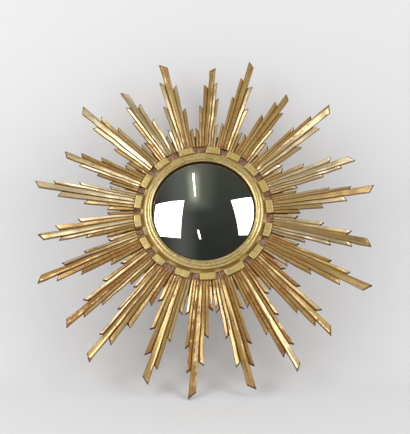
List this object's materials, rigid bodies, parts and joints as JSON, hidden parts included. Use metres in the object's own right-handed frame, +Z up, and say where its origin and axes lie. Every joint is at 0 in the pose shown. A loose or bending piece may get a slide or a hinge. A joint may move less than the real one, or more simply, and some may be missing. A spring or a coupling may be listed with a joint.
{
  "type": "convex mirror",
  "caption": "Round convex wall mirror in a carved giltwood sunburst, with beaded bezel, block collar, ray bundles on a carrier ring, and a swinging ring hanger at the back.",
  "frame": {"origin": "centre of the back board's rear face, on the wall plane behind the middle of the glass", "axes": "+Z up the wall, +X to the right as seen from the room, +Y into the wall, so the mirror faces -Y"},
  "size_m": [0.6397, 0.0578, 0.6508],
  "materials": {
    "gilt_rays": "worn gold leaf over red-brown bole",
    "gilt_collar": "worn gold leaf over red-brown bole",
    "gilt_bezel": "burnished gold leaf",
    "mirror_glass": "polished, aged silvering",
    "felt": "felt",
    "bare_wood": "bare, toned",
    "stained_board": "stained plywood",
    "hardboard": "smooth hardboard",
    "steel": "aged zinc plate"
  },
  "bodies": {
    "frame": {"ray_bundle_01": "gilt_rays", "ray_bundle_02": "gilt_rays", "ray_bundle_03": "gilt_rays", "ray_bundle_04": "gilt_rays", "ray_bundle_05": "gilt_rays", "ray_bundle_06": "gilt_rays", "ray_bundle_07": "gilt_rays", "ray_bundle_08": "gilt_rays", "ray_bundle_09": "gilt_rays", "ray_bundle_10": "gilt_rays", "ray_bundle_11": "gilt_rays", "ray_bundle_12": "gilt_rays", "ray_bundle_13": "gilt_rays", "ray_bundle_14": "gilt_rays", "ray_bundle_15": "gilt_rays", "ray_bundle_16": "gilt_rays", "ray_bundle_17": "gilt_rays", "ray_bundle_18": "gilt_rays", "ray_bundle_19": "gilt_rays", "ray_bundle_20": "gilt_rays", "ray_bundle_21": "gilt_rays", "ray_bundle_22": "gilt_rays", "dentil_collar": "gilt_collar", "bezel_ring": "gilt_bezel", "convex_mirror": "mirror_glass", "seat_gasket": "felt", "carrier_ring": "bare_wood", "packing_blocks": "bare_wood", "back_board": "stained_board", "backing_disc": "hardboard", "bezel_screws": "steel", "board_screws": "steel", "hanger_screws": "steel", "hanger_strap": "steel"},
    "ring": {"hanger_ring": "steel"}
  },
  "joints": [
    {"name": "ring_swing", "type": "hinge", "parent": "frame", "child": "ring", "pos_m": [0, -0.0042, 0.15], "axis": [1, 0, 0], "range_deg": [0, 180]}
  ]
}
